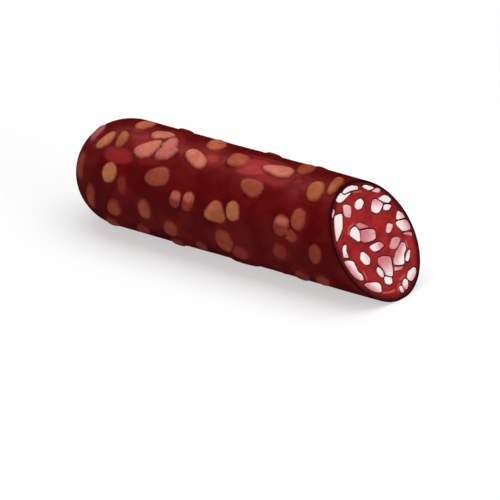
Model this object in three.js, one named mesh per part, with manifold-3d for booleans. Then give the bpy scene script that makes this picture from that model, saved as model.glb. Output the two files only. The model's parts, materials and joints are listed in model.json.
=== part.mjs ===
// A cured sausage: a length of dry salami in its casing, lying on its side with one end cut off on the slant.
// The casing is a thin tube that its own round blind end closes. It holds the cured lean meat, and the meat
// holds the dice of back fat: those that the cut goes through, and those that press against the casing.
// Millimetres, +Z up. X runs along the sausage, towards the cut. The origin is on the surface that the
// sausage rests on, under the middle of its length.
import * as THREE from "three";
import { mergeVertices } from "three/addons/utils/BufferGeometryUtils.js";
import Module from "manifold-3d";

const wasm = await Module();
wasm.setup();

// Driving dimensions
const LENGTH = 211; // from the blind end's tip to the foremost point of the cut
const RADIUS = 31; // over the casing
const BLIND_END_DEPTH = 32; // how far the round end reaches past the straight side
const SETTLED_FLAT = 0.4; // how much the underside has settled, which leaves it flat
const CASING_WALL = 0.8;
const FILLING_GAP = 0.3; // between the casing and what it holds
const CUT_LEAN_BACK = 30; // degrees: the cut's top lies further back than its foot
const CUT_TURN = 8; // degrees: the cut's front (-Y) lies further back than its far side
const DIE_GAP = 0.3; // between a die of fat and the pocket it sits in
const LEAN_BETWEEN = 0.8; // the least distance between two dice
const LEAN_RIM = 0.8; // lean left between the casing and a die in the cut
const CUT_DIE_DEPTH = 6; // how far a die goes into the meat behind the cut
const SKIN_DIE_DEPTH = 4.5; // how far a die under the casing goes into the meat
const DIE_SCALE = 1; // grows or shrinks each die where it is

// Fineness of the mesh
const ROUND_SIDES = 48;
const BLIND_END_RINGS = 7;
const CORNER_STEPS = 2; // straight steps in a die's rounded corner
const OVAL_SIDES = 14; // of a die under the casing

// Places that follow from the driving dimensions
const AXIS_HEIGHT = RADIUS - SETTLED_FLAT;
const FILLING_INSET = CASING_WALL + FILLING_GAP; // from the outside of the casing
const TIP_X = -LENGTH / 2;
const LEAN_SLOPE = Math.tan(THREE.MathUtils.degToRad(CUT_LEAN_BACK));
const TURN_SLOPE = Math.tan(THREE.MathUtils.degToRad(CUT_TURN));
const CUT_X = LENGTH / 2 - RADIUS * Math.hypot(LEAN_SLOPE, TURN_SLOPE);
const CUT_CENTRE = new THREE.Vector3(CUT_X, 0, AXIS_HEIGHT);
const CUT_NORMAL = new THREE.Vector3(1, -TURN_SLOPE, LEAN_SLOPE).normalize();
const CUT_RIGHT = new THREE.Vector3(TURN_SLOPE, 1, 0).normalize();
const CUT_UP = new THREE.Vector3().crossVectors(CUT_NORMAL, CUT_RIGHT);

// The dice that the cut goes through. Each is its outline's corners, in millimetres right of and above the
// cut's middle, seen from outside with +Y on the right, on a cut of the size below. On another cut the dice
// keep their size and spread to suit it.
const PATTERN_HALF_WIDTH = 31.3;
const PATTERN_HALF_HEIGHT = 35.8;
const CUT_DICE = [
  // along the top of the rim
  [[-9.4, 32], [-6.5, 33.4], [-1.5, 33.8], [3.6, 31.5], [2.6, 29.9], [-2.6, 31], [-8, 31]],
  [
    [-16, 29.8], [-14.8, 31.9], [-11, 32.9], [-9.2, 31], [-5, 30.6],
    [-3, 29.9], [-6, 29.1], [-12.4, 27.6], [-14.8, 28.2],
  ],
  [[6.2, 30.4], [9.2, 30.4], [15.4, 26.3], [10, 26.5]],
  [[11.4, 26], [16.8, 25.9], [18.9, 24], [16.8, 22.8], [14.6, 23.8]],
  // the upper half, from the left
  [[-24.8, 22.8], [-21.6, 25.8], [-20, 26.4], [-20, 24.6], [-23.6, 22]],
  [[-27.6, 9], [-25.8, 14], [-23.4, 19.6], [-21.4, 22.6], [-15.2, 22.2], [-19, 14.9], [-23, 11.8]],
  [[-14.7, 20], [-12.6, 25.8], [-10, 25.4], [-6.9, 23.4], [-10.6, 17.4]],
  [[-4.8, 21.8], [-2.8, 24.4], [2.2, 25], [3.2, 22], [-0.6, 19.4], [-3.6, 19.8]],
  [[5.8, 15.9], [9.2, 20.6], [12.6, 21], [16.8, 16.4], [11.6, 13.2], [8.8, 13.4]],
  [[14, 20.4], [19.6, 20.6], [22.4, 18.8], [23.6, 16.4], [20.8, 15.4], [17.6, 17]],
  [[14.8, 13.6], [17.4, 15.9], [22.4, 13.6], [19, 12], [17, 12.2]],
  // about the middle, from the left
  [[-16.6, 9.6], [-13.4, 12], [-9.8, 12.6], [-8.2, 8.8], [-10.2, 4], [-12, 4]],
  [[-9.2, 13.2], [-5.8, 13.4], [0.2, 8.6], [-3, 9], [-7.4, 9.8]],
  [[-10, 3.4], [-7.6, 9.2], [-4, 8.8], [3, 6], [1.6, 1.4], [-1, 0.9], [-6.8, 1.6]],
  [[-5.8, -2], [-4.8, -1], [2.8, -0.9], [5.6, -4.6], [0, -5.5], [-3.8, -4.9]],
  [[10, 1.6], [14, 6], [17.8, 3.6], [13, 0.1]],
  [[21, 5.1], [24.9, 9.6], [27.4, 6.8], [28.4, 3.8], [25.6, 4.4]],
  [[19.6, 2.8], [21, 4.3], [28.2, 3], [29.4, -0.4], [28.8, -3.4], [22.6, -2.4]],
  [[21.6, -3.3], [25.6, -3.6], [28.8, -4.9], [27.6, -7], [25, -5.4]],
  // the lower half, from the left
  [[-26.8, 0.4], [-25, 4.8], [-22.8, 6], [-21.2, 5.4], [-23.2, 2.4], [-23.2, -1.4], [-26, -0.4]],
  [
    [-28.2, -1.8], [-23.6, -2.8], [-21, -4.6], [-20.8, -10.4],
    [-18.8, -13], [-19, -16.2], [-21.6, -15.6], [-25.4, -11.6],
  ],
  [[-15.9, -5], [-13, -1.7], [-10.8, -2.6], [-8.3, -6.8], [-10.4, -10], [-13.8, -9.2]],
  [
    [-4.4, -11.4], [-3, -9], [0.4, -9], [6.8, -11.4], [3.8, -19.8],
    [2, -21.8], [-2.4, -19.2], [-1.8, -17], [-3.4, -13.6],
  ],
  [[-7.8, -15.4], [-5.4, -12.9], [-2.8, -16.8], [-3.8, -19.6], [-5.6, -19.8]],
  [[-5, -23.6], [-4, -20], [-2, -20.2], [1.4, -22.2], [0.2, -25], [-1.6, -25.2]],
  [[8.2, -6.6], [12.8, -2.8], [15.6, -2.9], [19.6, -5.2], [13.2, -9.4], [9.2, -8]],
  [
    [6, -16.2], [9.8, -11.6], [18.6, -7], [20.8, -8.6],
    [20, -11.8], [16.8, -13.6], [14.4, -18.7], [11, -18.2],
  ],
  [[15.7, -17.3], [19.8, -13.6], [22.9, -12.8], [20, -16.8], [17.6, -18.5]],
  [[6.4, -17.4], [9.6, -18.9], [12.8, -19.5], [11.4, -20.7], [5, -19.8]],
  // along the foot of the rim
  [[-20.6, -18.4], [-17.8, -18.2], [-9.8, -20.8], [-8.6, -22.8], [-9.8, -26.6], [-12, -26.2], [-16.6, -23.4]],
  [[11.8, -26.4], [14.8, -23.4], [20.4, -22.6], [21.3, -24.4], [18.6, -27.6], [14.4, -29.3]],
  [[7, -28.2], [9.6, -25.8], [12.1, -27.4], [10.6, -30.8], [8.2, -32], [7, -30.8]],
  [[3.6, -29], [5.4, -28.4], [6.6, -29.6], [6.2, -32.6], [3.6, -32.2]],
];

// The dice that press against the casing. around is the angle from the top, positive towards the front, and
// along how far the die is from the blind end's tip to the cut, as a share of that line. size is the length
// and width in millimetres, turn the angle of that length to the sausage's, seen from outside with +X on the
// right, taper how much wider the leading end is, corners how square the outline is (2 is an oval), and bend
// how hollow one long side is.
const SKIN_DICE = [
  { along: 0.229, around: -4, size: [13, 8.5], turn: 75 },
  { along: 0.148, around: 33, size: [13, 6.4], turn: 60, bend: 0.2 },
  { along: 0.201, around: 27, size: [11.6, 6.2], turn: 98, bend: 0.22 },
  { along: 0.321, around: 7, size: [13.5, 7.6], turn: 20, taper: -0.2 },
  { along: 0.307, around: 29, size: [17, 9.4], turn: 44, taper: -0.1, bend: 0.18 },
  { along: 0.373, around: 21.5, size: [16.4, 8.6], turn: 100, taper: -0.15 },
  { along: 0.483, around: 26, size: [16.6, 8.5], turn: -28, corners: 2.5 },
  { along: 0.5, around: -5, size: [15, 10], turn: 112, taper: -0.2 },
  { along: 0.62, around: 13, size: [12.2, 11], turn: 0, taper: -0.1, corners: 2.8 },
  { along: 0.766, around: 12.5, size: [18.6, 8.6], turn: 3, taper: 0.4, corners: 2.4 },
  { along: 0.709, around: 41, size: [14.6, 9.4], turn: -14, taper: 0.25 },
  { along: 0.837, around: -4, size: [14, 9], turn: 100 },
  { along: 0.929, around: 25, size: [13.8, 9.6], turn: 104 },
  { along: 0.976, around: 10, size: [16.2, 6], turn: 100, bend: 0.1 },
  { along: 0.371, around: 57, size: [15.4, 9.6], turn: 16, taper: 0.2 },
  { along: 0.199, around: 66, size: [10.4, 9], turn: 90 },
  { along: 0.442, around: 74, size: [9.2, 7.4], turn: 80 },
  { along: 0.487, around: 73, size: [10.6, 7.4], turn: 74 },
  { along: 0.585, around: 75, size: [11.2, 12], turn: 90, taper: -0.5, corners: 2.5 },
  { along: 0.649, around: 70, size: [10.4, 8.2], turn: 102 },
  { along: 0.822, around: 70.5, size: [11, 9.6], turn: 90 },
  { along: 0.887, around: 60.5, size: [11.4, 8.4], turn: 100 },
  { along: 0.85, around: 78, size: [8.6, 6.2], turn: -20 },
  { along: 0.585, around: 107, size: [15.2, 11.4], turn: 100 },
  { along: 0.918, around: 91, size: [11.2, 7.6], turn: 86, taper: 0.15 },
];

const MATERIALS = {
  casing: new THREE.MeshStandardMaterial({ color: "#5a1216", roughness: 0.4, metalness: 0 }),
  lean: new THREE.MeshStandardMaterial({ color: "#8e1c1f", roughness: 0.5, metalness: 0 }),
  cutFat: new THREE.MeshStandardMaterial({ color: "#f2d9d6", roughness: 0.45, metalness: 0 }),
  skinFat: new THREE.MeshStandardMaterial({ color: "#b8805c", roughness: 0.45, metalness: 0 }),
};

// A closed geometry as a solid that can be joined and cut.
function solidFrom(geometry, placement = new THREE.Matrix4()) {
  const placed = geometry.clone().applyMatrix4(placement);
  placed.deleteAttribute("normal");
  placed.deleteAttribute("uv");
  const merged = mergeVertices(placed, 1e-4);
  const mesh = new wasm.Mesh({
    numProp: 3,
    vertProperties: merged.attributes.position.array,
    triVerts: new Uint32Array(merged.index.array),
  });
  return new wasm.Manifold(mesh);
}

// The largest connected body of a solid: the crumbs that a cut leaves beside it fall away.
function mainBody(solid) {
  const bodies = solid.decompose();
  return bodies.reduce((best, body) => (body.volume() > best.volume() ? body : best));
}

function meshFrom(solid, name, material) {
  const { vertProperties, triVerts } = solid.getMesh();
  const geometry = new THREE.BufferGeometry();
  geometry.setAttribute("position", new THREE.BufferAttribute(vertProperties, 3));
  geometry.setIndex(new THREE.BufferAttribute(triVerts, 1));
  geometry.computeVertexNormals();
  const mesh = new THREE.Mesh(geometry, material);
  mesh.name = name;
  return mesh;
}

// The radius at a distance behind the blind end's tip, for the whole body drawn in by inset all over.
function radiusAt(fromTip, inset = 0) {
  const depth = BLIND_END_DEPTH - inset;
  const share = Math.min(1, (fromTip - inset) / depth);
  return (RADIUS - inset) * Math.sqrt(1 - (1 - share) ** 2);
}

// The uncut sausage, drawn in by inset all over, with its blind end and its settled underside.
function sausageBody(inset) {
  const profile = [];
  for (let ring = 0; ring <= BLIND_END_RINGS; ring += 1) {
    const angle = (ring / BLIND_END_RINGS) * (Math.PI / 2);
    const fromTip = inset + (BLIND_END_DEPTH - inset) * (1 - Math.cos(angle));
    profile.push(new THREE.Vector2(ring === 0 ? 0 : radiusAt(fromTip, inset), fromTip));
  }
  const pastTheCut = LENGTH + RADIUS;
  profile.push(new THREE.Vector2(RADIUS - inset, pastTheCut), new THREE.Vector2(0, pastTheCut));
  const lathe = new THREE.LatheGeometry(profile, ROUND_SIDES);
  const alongX = new THREE.Matrix4().makeRotationZ(-Math.PI / 2);
  const placement = new THREE.Matrix4().makeTranslation(TIP_X, 0, AXIS_HEIGHT).multiply(alongX);
  const board = new THREE.BoxGeometry(4 * LENGTH, 4 * RADIUS, RADIUS);
  const underTheFlat = new THREE.Matrix4().makeTranslation(0, 0, inset - RADIUS / 2);
  return solidFrom(lathe, placement).subtract(solidFrom(board, underTheFlat));
}

// What the knife takes away: everything in front of the slanting cut.
function cutOff() {
  const size = 2 * LENGTH;
  const block = new THREE.BoxGeometry(size, size, size);
  const turned = new THREE.Quaternion().setFromUnitVectors(new THREE.Vector3(0, 0, 1), CUT_NORMAL);
  const middle = CUT_CENTRE.clone().addScaledVector(CUT_NORMAL, size / 2);
  return solidFrom(block, new THREE.Matrix4().compose(middle, turned, new THREE.Vector3(1, 1, 1)));
}

// A closed outline along a polygon's sides, with its corners rounded.
function roundedPolygon(corners) {
  const reach = 0.27; // of a side's length, from the corner to where its rounding ends
  const points = [];
  corners.forEach((corner, i) => {
    const before = corners.at(i - 1);
    const after = corners[(i + 1) % corners.length];
    const rounding = new THREE.QuadraticBezierCurve(
      corner.clone().lerp(before, reach),
      corner,
      corner.clone().lerp(after, reach),
    );
    points.push(...rounding.getPoints(CORNER_STEPS));
  });
  return points;
}

// A closed outline between an oval and a box, tapered along its length and bent.
function roundedBox({ size, turn, taper = 0, bend = 0, corners = 2.2 }) {
  const squared = (value) => Math.sign(value) * Math.abs(value) ** (2 / corners);
  const points = [];
  for (let side = 0; side < OVAL_SIDES; side += 1) {
    const angle = (side / OVAL_SIDES) * 2 * Math.PI;
    const x = squared(Math.cos(angle));
    const y = squared(Math.sin(angle)) * (1 + taper * x) + bend * (2 * x * x - 1);
    points.push(new THREE.Vector2((x * size[0]) / 2, (y * size[1]) / 2));
  }
  return points.map((point) => point.rotateAround(new THREE.Vector2(), THREE.MathUtils.degToRad(turn)));
}

// A closed outline moved outwards by distance all round, each point along the bisector of its corner.
function grownOutline(points, distance) {
  const direction = THREE.ShapeUtils.isClockWise(points) ? -1 : 1;
  return points.map((point, i) => {
    const before = point.clone().sub(points.at(i - 1)).normalize();
    const after = points[(i + 1) % points.length].clone().sub(point).normalize();
    const outwards = before.clone().add(after).normalize();
    outwards.set(outwards.y, -outwards.x);
    const cosOfHalfTurn = Math.sqrt((1 + before.dot(after)) / 2);
    return point.clone().addScaledVector(outwards, (direction * distance) / cosOfHalfTurn);
  });
}

// A die of fat, grown by grow all over: a prism that goes depth into the meat and as far out of it, for the
// knife or the casing to trim.
function dieSolid({ outline, frame, depth }, grow) {
  const scaled = outline.map((point) => point.clone().multiplyScalar(DIE_SCALE));
  const geometry = new THREE.ExtrudeGeometry(new THREE.Shape(grownOutline(scaled, grow)), {
    depth: 2 * (depth + grow),
    bevelEnabled: false,
  });
  geometry.translate(0, 0, -depth - grow);
  return solidFrom(geometry, frame);
}

// A die that the cut goes through, with its outline about its own middle and that middle's place on the cut.
function cutDie(pattern) {
  const corners = pattern.map(([right, up]) => new THREE.Vector2(right, up));
  const middle = new THREE.Vector2();
  corners.forEach((corner) => middle.addScaledVector(corner, 1 / corners.length));
  corners.forEach((corner) => corner.sub(middle));
  const spreadRight = RADIUS / CUT_RIGHT.y / PATTERN_HALF_WIDTH;
  const spreadUp = RADIUS / CUT_UP.z / PATTERN_HALF_HEIGHT;
  const place = CUT_CENTRE.clone()
    .addScaledVector(CUT_RIGHT, middle.x * spreadRight)
    .addScaledVector(CUT_UP, middle.y * spreadUp);
  return {
    outline: roundedPolygon(corners),
    frame: new THREE.Matrix4().makeBasis(CUT_RIGHT, CUT_UP, CUT_NORMAL).setPosition(place),
    depth: CUT_DIE_DEPTH,
  };
}

// A die that presses against the casing, with its place on the filling's own surface.
function skinDie(die) {
  const angle = THREE.MathUtils.degToRad(die.around);
  const sideways = new THREE.Vector3(0, -Math.sin(angle), Math.cos(angle));
  const cutFromTip = CUT_X - TIP_X + RADIUS * (sideways.y * TURN_SLOPE - sideways.z * LEAN_SLOPE);
  const fromTip = die.along * cutFromTip;
  const radius = radiusAt(fromTip, FILLING_INSET);
  const step = 0.01;
  const slope = (radiusAt(fromTip + step, FILLING_INSET) - radius) / step;
  const place = new THREE.Vector3(TIP_X + fromTip, 0, AXIS_HEIGHT).addScaledVector(sideways, radius);
  const right = new THREE.Vector3(1, 0, 0).addScaledVector(sideways, slope).normalize();
  const out = new THREE.Vector3(-slope, 0, 0).add(sideways).normalize();
  const up = new THREE.Vector3().crossVectors(out, right);
  return {
    outline: roundedBox(die),
    frame: new THREE.Matrix4().makeBasis(right, up, out).setPosition(place),
    depth: SKIN_DIE_DEPTH,
  };
}

const cut = cutOff();
const sausage = new THREE.Group();

const casing = sausageBody(0).subtract(sausageBody(CASING_WALL)).subtract(cut);
sausage.add(meshFrom(casing, "casing", MATERIALS.casing));

const number = (i) => String(i + 1).padStart(2, "0");
const dice = [
  ...CUT_DICE.map((pattern, i) => ({
    ...cutDie(pattern),
    name: `fat_in_cut_${number(i)}`,
    inset: FILLING_INSET + LEAN_RIM,
    pocketInset: FILLING_INSET + LEAN_RIM - DIE_GAP,
    material: MATERIALS.cutFat,
  })),
  ...SKIN_DICE.map((die, i) => ({
    ...skinDie(die),
    name: `fat_under_casing_${number(i)}`,
    inset: FILLING_INSET,
    pocketInset: 0,
    material: MATERIALS.skinFat,
  })),
];

// Each die keeps its distance from the casing, gives way to the dice before it and is trimmed by the knife.
dice.forEach((die, i) => {
  let solid = dieSolid(die, 0).intersect(sausageBody(die.inset));
  for (const other of dice.slice(0, i)) {
    solid = solid.subtract(dieSolid(other, LEAN_BETWEEN));
  }
  sausage.add(meshFrom(mainBody(solid.subtract(cut)), die.name, die.material));
});

// The lean fills the rest of the casing, with a pocket for each die.
let lean = sausageBody(FILLING_INSET).subtract(cut);
for (const die of dice) {
  lean = lean.subtract(dieSolid(die, DIE_GAP).intersect(sausageBody(die.pocketInset)));
}
sausage.add(meshFrom(mainBody(lean), "lean_meat", MATERIALS.lean));

export default sausage;
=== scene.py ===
"""A cured sausage with a slanting cut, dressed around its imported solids.

The body is a round bar with a blind round end. A Casing wraps it and shows the fat beneath as soft
lighter patches. LeanMeat is the red filling that the cut lays open, and FatDice are the cubes of back
fat set in it. Studio holds the floor, the lights and the camera. Lengths are in metres.
"""

import json
import logging
import math
import random
from collections.abc import Iterable, Sequence
from dataclasses import dataclass
from enum import Enum
from typing import Any

import bmesh
import bpy
import numpy as np
from mathutils import Matrix, Vector, noise
from mathutils.bvhtree import BVHTree
from mathutils.kdtree import KDTree

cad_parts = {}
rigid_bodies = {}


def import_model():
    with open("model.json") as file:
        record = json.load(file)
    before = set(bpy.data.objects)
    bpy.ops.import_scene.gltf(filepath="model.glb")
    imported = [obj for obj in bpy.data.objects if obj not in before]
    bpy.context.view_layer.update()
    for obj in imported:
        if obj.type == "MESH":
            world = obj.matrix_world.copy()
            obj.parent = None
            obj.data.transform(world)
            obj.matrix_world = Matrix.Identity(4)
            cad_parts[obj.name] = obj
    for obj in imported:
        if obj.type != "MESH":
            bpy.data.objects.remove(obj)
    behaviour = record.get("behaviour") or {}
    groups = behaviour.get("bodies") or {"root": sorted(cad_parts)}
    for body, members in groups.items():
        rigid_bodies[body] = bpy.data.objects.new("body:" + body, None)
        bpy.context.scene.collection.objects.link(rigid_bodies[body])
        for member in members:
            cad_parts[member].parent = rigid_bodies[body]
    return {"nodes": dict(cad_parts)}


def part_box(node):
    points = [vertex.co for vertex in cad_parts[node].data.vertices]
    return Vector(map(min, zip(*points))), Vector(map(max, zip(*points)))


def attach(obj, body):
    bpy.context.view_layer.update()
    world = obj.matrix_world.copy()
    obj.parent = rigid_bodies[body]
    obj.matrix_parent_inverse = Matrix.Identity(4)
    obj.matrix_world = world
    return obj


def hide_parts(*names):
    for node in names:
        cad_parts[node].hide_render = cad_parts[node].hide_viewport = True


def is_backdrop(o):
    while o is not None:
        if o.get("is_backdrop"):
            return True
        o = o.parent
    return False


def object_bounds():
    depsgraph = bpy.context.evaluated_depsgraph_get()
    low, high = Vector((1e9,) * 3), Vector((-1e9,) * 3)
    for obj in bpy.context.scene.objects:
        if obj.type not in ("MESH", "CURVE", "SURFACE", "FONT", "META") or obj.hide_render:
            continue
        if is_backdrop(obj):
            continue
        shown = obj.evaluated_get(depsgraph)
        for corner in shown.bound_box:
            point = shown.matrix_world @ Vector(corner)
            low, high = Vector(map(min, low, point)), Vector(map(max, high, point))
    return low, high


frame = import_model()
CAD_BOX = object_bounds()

LOG = logging.getLogger("cured_sausage")
MM = 0.001
MERGE_WITHIN = 0.002 * MM
WELD_WITHIN = 0.001 * MM
ROOT_BODY = "root"

Colour = tuple[float, float, float, float]
Socket = bpy.types.NodeSocket
Input = float | Sequence[float] | Socket
Spread = tuple[float, float]

# Most of a grain's values lie between these.
GRAIN_SPREAD: Spread = (0.3, 0.7)


# ---------------------------------------------------------------------------------------------------
# Small helpers
# ---------------------------------------------------------------------------------------------------


def colour(code: str) -> Colour:
    """Turns a display colour into the linear colour that shaders read.

    Args:
        code: Six hexadecimal digits, red first.

    Returns:
        Linear red, green, blue and an alpha of one.
    """
    shares = [int(code[i : i + 2], 16) / 255 for i in (0, 2, 4)]
    linear = [
        share / 12.92 if share <= 0.04045 else ((share + 0.055) / 1.055) ** 2.4 for share in shares
    ]
    return (linear[0], linear[1], linear[2], 1.0)


def smooth_step(value: np.ndarray | float, low: float, high: float) -> Any:
    """Eases from 0 at low to 1 at high.

    Args:
        value: What is eased.
        low: Where the result leaves 0.
        high: Where the result reaches 1.

    Returns:
        The eased share, of the same form as value.
    """
    share = np.clip((value - low) / (high - low), 0.0, 1.0)
    return share * share * (3 - 2 * share)


class Surfaces:
    """The surfaces of several solids, to find how near the nearest one is."""

    def __init__(self, nodes: Iterable[bpy.types.Object], reach: float) -> None:
        """Gathers the solids.

        Args:
            nodes: The solids' objects, whose places are in their meshes.
            reach: How far away a surface is still looked for.
        """
        corners: list[Vector] = []
        faces: list[list[int]] = []
        self.owners: list[str] = []
        self.reach = reach
        for node in nodes:
            start = len(corners)
            corners.extend(vertex.co.copy() for vertex in node.data.vertices)
            faces.extend([start + i for i in face.vertices] for face in node.data.polygons)
            self.owners.extend([node.name] * len(node.data.polygons))
        self.tree = BVHTree.FromPolygons(corners, faces)

    def nearest(self, point: Vector) -> tuple[float, str]:
        """Finds the nearest surface.

        Args:
            point: Where it is looked for from.

        Returns:
            Its distance and its solid's name, or the reach and no name.
        """
        _, _, face, distance = self.tree.find_nearest(point, self.reach)
        return (self.reach, "") if face is None else (distance, self.owners[face])

    def next_nearest(self, point: Vector, owner: str, reach: float) -> float:
        """Finds the nearest surface of any solid but one.

        Args:
            point: Where it is looked for from.
            owner: The name of the solid that is passed over.
            reach: How far away a surface is looked for.

        Returns:
            Its distance, or the reach.
        """
        found = self.tree.find_nearest_range(point, reach)
        return min((hit[3] for hit in found if self.owners[hit[2]] != owner), default=reach)


def piece_from(shape: bmesh.types.BMesh, name: str, sharp_from: float = 50.0) -> bpy.types.Object:
    """Makes an object from a finished shape, and frees the shape.

    Args:
        shape: The shape, with its place in its vertices.
        name: The piece's name.
        sharp_from: Degrees between two faces from which their shared edge stays crisp.

    Returns:
        The new object, at the origin.
    """
    mesh = bpy.data.meshes.new(name)
    shape.to_mesh(mesh)
    shape.free()
    if "custom_normal" in mesh.attributes:
        mesh.attributes.remove(mesh.attributes["custom_normal"])
    mesh.shade_smooth()
    mesh.set_sharp_from_angle(angle=math.radians(sharp_from))
    piece = bpy.data.objects.new(name, mesh)
    bpy.context.scene.collection.objects.link(piece)
    return piece


def merged_copy(node: bpy.types.Object) -> bmesh.types.BMesh:
    """Copies a solid's loose triangles into one connected shape.

    Args:
        node: The solid's object, which stays as it is.

    Returns:
        The connected copy.
    """
    shape = bmesh.new()
    shape.from_mesh(node.data)
    bmesh.ops.remove_doubles(shape, verts=shape.verts, dist=MERGE_WITHIN)
    return shape


def paint(piece: bpy.types.Object, name: str, values: Sequence[float] | np.ndarray) -> None:
    """Stores one number for each vertex of a piece, for its finish to read."""
    attribute = piece.data.attributes.new(name, "FLOAT", "POINT")
    attribute.data.foreach_set("value", np.asarray(values, np.float32))


def points_of(piece: bpy.types.Object) -> np.ndarray:
    """Lists the places of a piece's vertices.

    Args:
        piece: The piece.

    Returns:
        The places, one row each.
    """
    flat = np.zeros(len(piece.data.vertices) * 3)
    piece.data.vertices.foreach_get("co", flat)
    return flat.reshape(-1, 3)


# ---------------------------------------------------------------------------------------------------
# The body that every piece takes its place from
# ---------------------------------------------------------------------------------------------------


@dataclass(frozen=True)
class Body:
    """The stuffed body's shape as its solids have it.

    Attributes:
        tip: Where the blind end's tip is, along the sausage.
        radius: Half the thickness over the casing.
        axis_height: How high the middle line lies.
        blind_depth: How far the round end reaches past the straight side.
        filling_inset: How far the filling's surface lies inside the casing's.
        cut_normal: Which way the cut faces.
        cut_reach: How far the cut's plane is from the origin, that way.
    """

    tip: float
    radius: float
    axis_height: float
    blind_depth: float
    filling_inset: float
    cut_normal: Vector
    cut_reach: float

    @classmethod
    def measured(cls, nodes: dict[str, bpy.types.Object]) -> "Body":
        """Reads the body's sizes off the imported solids.

        Args:
            nodes: The solids by name.

        Returns:
            The body.
        """
        faces_the_cut = 0.6
        digits = 4
        low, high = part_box("casing")
        lean_low, lean_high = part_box("lean_meat")
        radius = (high.y - low.y) / 2
        areas: dict[Vector, float] = {}
        for face in nodes["lean_meat"].data.polygons:
            if face.normal.x > faces_the_cut:
                normal = Vector(round(value, digits) for value in face.normal).freeze()
                areas[normal] = areas.get(normal, 0.0) + face.area
        normal = max(areas, key=lambda found: areas[found]).normalized()
        return cls(
            tip=low.x,
            radius=radius,
            axis_height=high.z - radius,
            blind_depth=32 * MM,
            filling_inset=radius - (lean_high.y - lean_low.y) / 2,
            cut_normal=normal,
            cut_reach=max(vertex.co.dot(normal) for vertex in nodes["lean_meat"].data.vertices),
        )

    @property
    def shoulder(self) -> float:
        """Where the round end meets the straight side."""
        return self.tip + self.blind_depth

    @property
    def cut_centre(self) -> Vector:
        """Where the middle line goes through the cut."""
        return Vector((self.cut_at(0, self.axis_height), 0, self.axis_height))

    @property
    def cut_right(self) -> Vector:
        """The cut's level direction, towards the far side."""
        return Vector((-self.cut_normal.y, self.cut_normal.x, 0)).normalized()

    @property
    def cut_up(self) -> Vector:
        """The cut's direction up its slope."""
        return self.cut_normal.cross(self.cut_right)

    def cut_at(self, y: Any, z: Any) -> Any:
        """Finds the cut.

        Args:
            y: The place across the sausage.
            z: The place's height.

        Returns:
            How far along the sausage the cut is there, of the same form as y and z.
        """
        normal = self.cut_normal
        return (self.cut_reach - normal.y * y - normal.z * z) / normal.x

    def radius_at(self, along: float) -> float:
        """Returns the casing's radius at a distance behind the tip."""
        share = min(1.0, along / self.blind_depth)
        return self.radius * math.sqrt(1 - (1 - share) ** 2)

    def outward(self, points: np.ndarray) -> np.ndarray:
        """Finds which way the skin faces.

        Args:
            points: Places on the skin, one row each.

        Returns:
            A unit direction for each place.
        """
        out = points - np.array((self.shoulder, 0, self.axis_height))
        out[:, 0] = np.minimum(out[:, 0], 0) / self.blind_depth**2
        out[:, 1:] /= self.radius**2
        return out / np.linalg.norm(out, axis=1, keepdims=True)


# ---------------------------------------------------------------------------------------------------
# Fat that shows through the casing
# ---------------------------------------------------------------------------------------------------


class Tint(Enum):
    """How a patch of fat looks through the casing."""

    AMBER = "b26a45"
    TAN = "94542f"
    ORANGE = "a85a38"
    LIT = "b86853"
    ROSE = "ac5c52"
    EMBER = "964530"
    RUST = "8c3a23"
    BRICK = "8c362a"
    RED = "842922"
    # The colour of a painted highlight.
    CAP = "bf634f"


DICE_BY_TINT = {
    Tint.AMBER: (2, 16, 20),
    Tint.TAN: (3, 13, 14),
    Tint.ORANGE: (1, 8, 19),
    Tint.LIT: (4, 5, 7, 10),
    Tint.ROSE: (6,),
    Tint.EMBER: (9, 11, 15, 22),
    Tint.RUST: (12, 23, 24, 25),
    Tint.BRICK: (17, 18, 21),
}


@dataclass(frozen=True)
class Oval:
    """A rounded place on the skin.

    Attributes:
        along: Millimetres from the blind end's tip.
        around: Degrees from the top, positive towards the front.
        length: Millimetres.
        width: Millimetres.
        turn: Degrees from the sausage's length, seen from outside with the cut on the right.
    """

    along: float
    around: float
    length: float
    width: float
    turn: float


@dataclass(frozen=True)
class Patch(Oval):
    """Fat that shows through the casing and has no solid of its own.

    Attributes:
        tint: How it looks.
    """

    tint: Tint


# Deeper and smaller fat in the front side and on the blind end.
DEEP_PATCHES = (
    Patch(45.5, 75, 9, 5.5, 100, Tint.RED),
    Patch(122, 118.5, 12, 10.5, 60, Tint.RED),
    Patch(150, 99.5, 10, 8.6, 80, Tint.RED),
    Patch(160, 131, 12, 9, 60, Tint.RED),
    Patch(174, 129, 11, 8, 60, Tint.RUST),
    Patch(24, 99, 15, 6.5, 85, Tint.RUST),
    Patch(12.9, 69, 15, 8.5, 95, Tint.RUST),
    Patch(15.5, 21, 13, 7, 90, Tint.ROSE),
    Patch(95, 127, 9, 7, 90, Tint.RED),
)

# A like spread of fat low on the front side, near the blind end.
LOW_PATCHES = (
    Patch(40, 104, 12, 8.5, 70, Tint.RUST),
    Patch(61, 95, 11, 8, 100, Tint.EMBER),
    Patch(77, 111, 12, 8.5, 75, Tint.RUST),
    Patch(56, 127, 11, 8, 60, Tint.RED),
    Patch(34, 132, 10, 7.5, 90, Tint.RUST),
    Patch(77, 137, 10, 8, 90, Tint.RED),
)

# Lobes that widen one of the dice.
LOBES = (
    Patch(63, 31, 9, 7.5, 90, Tint.ROSE),
    Patch(67.2, 26.5, 9, 8, 60, Tint.ROSE),
    Patch(62, 21, 8, 5, 0, Tint.ROSE),
)

# Fat just over the top and just under the bottom, which makes the side's outline uneven.
OUTLINE_BUMPS = (
    Patch(56, -43, 12, 9, 90, Tint.EMBER),
    Patch(114.5, -43, 13, 9, 90, Tint.RUST),
    Patch(115, 162, 18, 9, 0, Tint.RED),
)
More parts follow.
